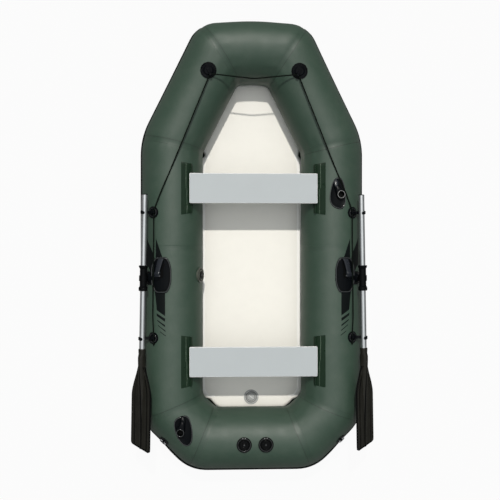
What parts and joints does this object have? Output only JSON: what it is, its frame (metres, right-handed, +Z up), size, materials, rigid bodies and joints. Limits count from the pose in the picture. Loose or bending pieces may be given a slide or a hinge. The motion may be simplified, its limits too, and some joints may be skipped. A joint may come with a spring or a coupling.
{
  "type": "inflatable boat",
  "caption": "Inflatable rowing dinghy with a full tube hull, air floor, sliding bench boards and stowed oars on swivelling locks.",
  "frame": {"origin": "middle of the outline, on the ground under the flat bottom", "axes": "+Y to the bow, +X to the right of a person facing the bow, +Z up"},
  "size_m": [1.2364, 2.3, 0.3756],
  "materials": {
    "hull_fabric": "coated PVC fabric, satin, dark green",
    "rail_fabric": "ribbed PVC strip, darker green",
    "floor_fabric": "coated PVC fabric, satin, cream",
    "bottom_fabric": "heavy coated PVC fabric, satin, dark green",
    "black_rubber": "moulded rubber, matt",
    "black_plastic": "moulded plastic, satin",
    "grey_plastic": "moulded plastic, light grey",
    "bench_board": "sealed board, painted pale blue-grey",
    "aluminium": "anodised tube, satin silver",
    "steel": "polished wire",
    "cord": "braided cord, black"
  },
  "bodies": {
    "hull": {"air_floor": "floor_fabric", "bottom_skin": "bottom_fabric", "bow_eye_left": "black_rubber", "bow_eye_right": "black_rubber", "floor_valve_body": "grey_plastic", "floor_valve_cap": "grey_plastic", "keeper_front_hook_left": "black_rubber", "keeper_front_hook_right": "black_rubber", "keeper_front_left": "black_rubber", "keeper_front_right": "black_rubber", "keeper_rear_hook_left": "black_rubber", "keeper_rear_hook_right": "black_rubber", "keeper_rear_left": "black_rubber", "keeper_rear_right": "black_rubber", "lifeline": "cord", "oarlock_pad_left": "black_rubber", "oarlock_pad_right": "black_rubber", "quarter_patch_left": "black_rubber", "quarter_patch_right": "black_rubber", "quarter_ring_left": "steel", "quarter_ring_right": "steel", "rod_holder_front": "black_rubber", "rod_holder_stern": "black_rubber", "rub_strake": "black_rubber", "seat_rail_front_left": "rail_fabric", "seat_rail_front_right": "rail_fabric", "seat_rail_rear_left": "rail_fabric", "seat_rail_rear_right": "rail_fabric", "side_valve_body": "black_plastic", "side_valve_cap": "black_plastic", "stern_valve_left_body": "black_plastic", "stern_valve_left_cap": "black_plastic", "stern_valve_right_body": "black_plastic", "stern_valve_right_cap": "black_plastic", "tube_bow": "hull_fabric", "tube_stern": "hull_fabric"},
    "oar_left": {"oar_left_blade": "black_plastic", "oar_left_collar": "black_plastic", "oar_left_plug": "black_plastic", "oar_left_shaft": "aluminium", "oar_left_swivel": "black_plastic"},
    "oar_right": {"oar_right_blade": "black_plastic", "oar_right_collar": "black_plastic", "oar_right_plug": "black_plastic", "oar_right_shaft": "aluminium", "oar_right_swivel": "black_plastic"},
    "bench_front": {"bench_front_board": "bench_board", "bench_front_shoe_left": "black_plastic", "bench_front_shoe_right": "black_plastic"},
    "bench_rear": {"bench_rear_board": "bench_board", "bench_rear_shoe_left": "black_plastic", "bench_rear_shoe_right": "black_plastic"}
  },
  "joints": [
    {"name": "oar_left_swing", "type": "hinge", "parent": "hull", "child": "oar_left", "pos_m": [-0.55341, -0.15709, 0.31144], "axis": [0.5, 0, -0.866], "range_deg": [0, 125], "deforming": ["keeper_rear_hook_left"]},
    {"name": "oar_right_swing", "type": "hinge", "parent": "hull", "child": "oar_right", "pos_m": [0.55341, -0.15709, 0.31144], "axis": [0.5, 0, 0.866], "range_deg": [0, 125], "deforming": ["keeper_rear_hook_right"]},
    {"name": "bench_front_slide", "type": "slide", "parent": "hull", "child": "bench_front", "axis": [0, 1, 0], "range_m": [-0.05, 0.05]},
    {"name": "bench_rear_slide", "type": "slide", "parent": "hull", "child": "bench_rear", "axis": [0, 1, 0], "range_m": [-0.05, 0.05]}
  ]
}
